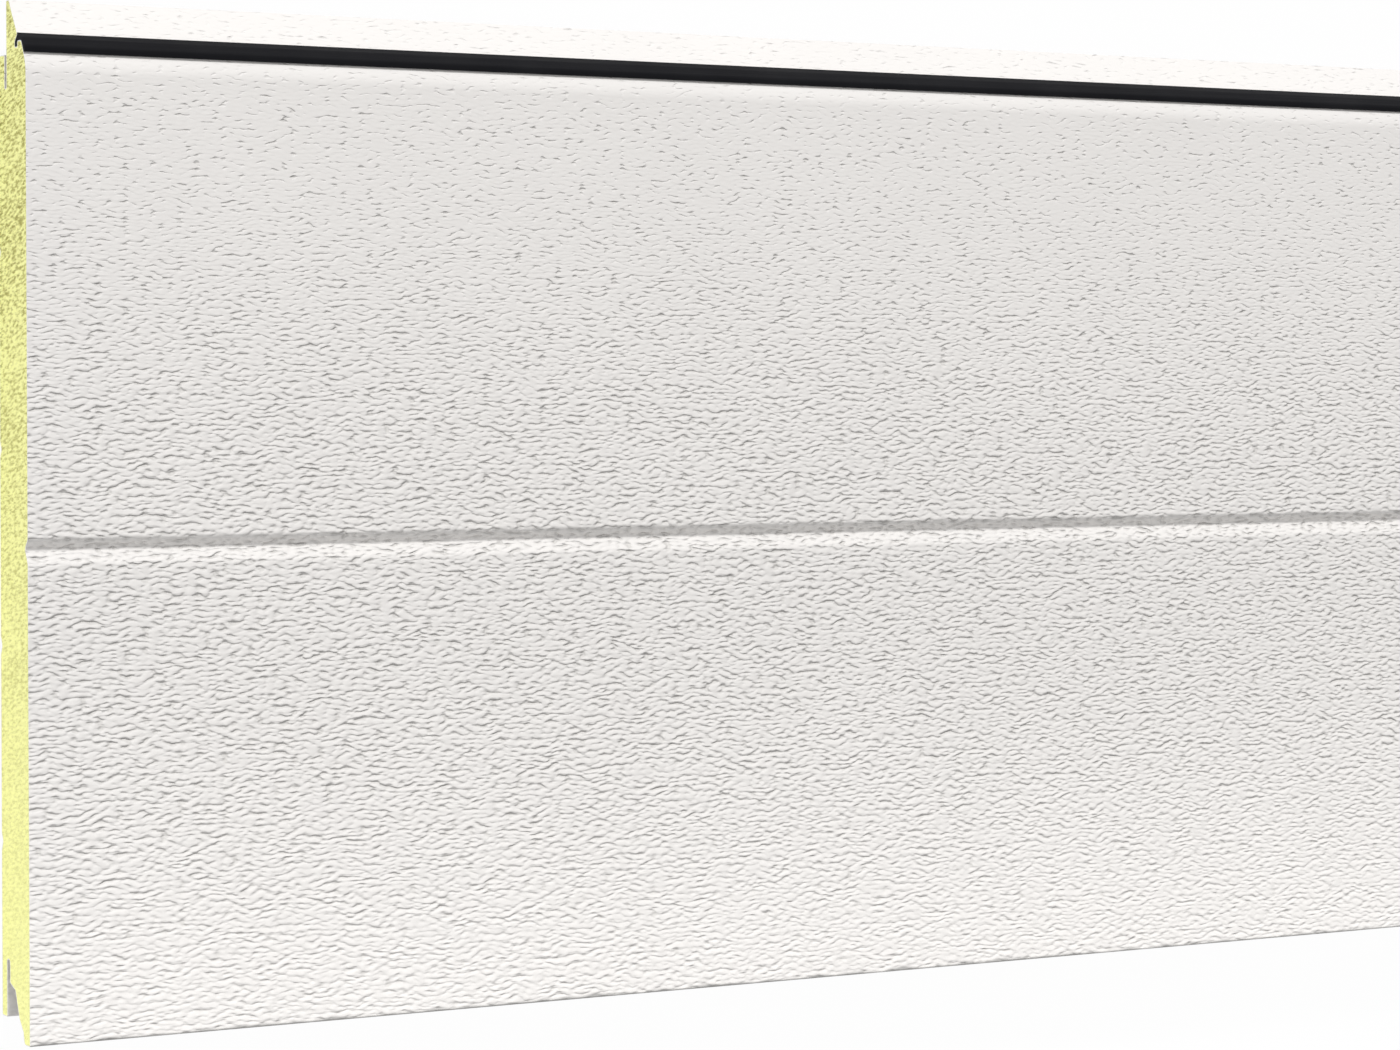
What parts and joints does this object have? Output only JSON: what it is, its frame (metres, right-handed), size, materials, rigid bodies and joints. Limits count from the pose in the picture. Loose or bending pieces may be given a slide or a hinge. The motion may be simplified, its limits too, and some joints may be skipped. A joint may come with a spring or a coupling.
{
  "type": "sectional garage door panel",
  "caption": "Foam filled sectional garage door panel with an embossed outer steel sheet, V groove, tongue with rubber seal and matching bottom groove, cut square at both ends.",
  "frame": {"origin": "middle of the panel's box at its lowest level, on the floor that the inner face lies on", "axes": "+X along the panel's length, +Y towards the tongue edge, +Z out of the outer face, which lies up"},
  "size_m": [2.5, 0.522, 0.04],
  "materials": {
    "outer_paint": "white polyester paint on embossed steel sheet, low sheen",
    "inner_paint": "off-white polyester paint on steel sheet, low sheen",
    "foam": "cut rigid polyurethane foam, pale yellow, fine open grain",
    "seal_rubber": "black extruded rubber, matt"
  },
  "bodies": {
    "root": {"outer_skin": "outer_paint", "inner_skin": "inner_paint", "foam_core": "foam", "edge_seal": "seal_rubber"}
  },
  "joints": []
}
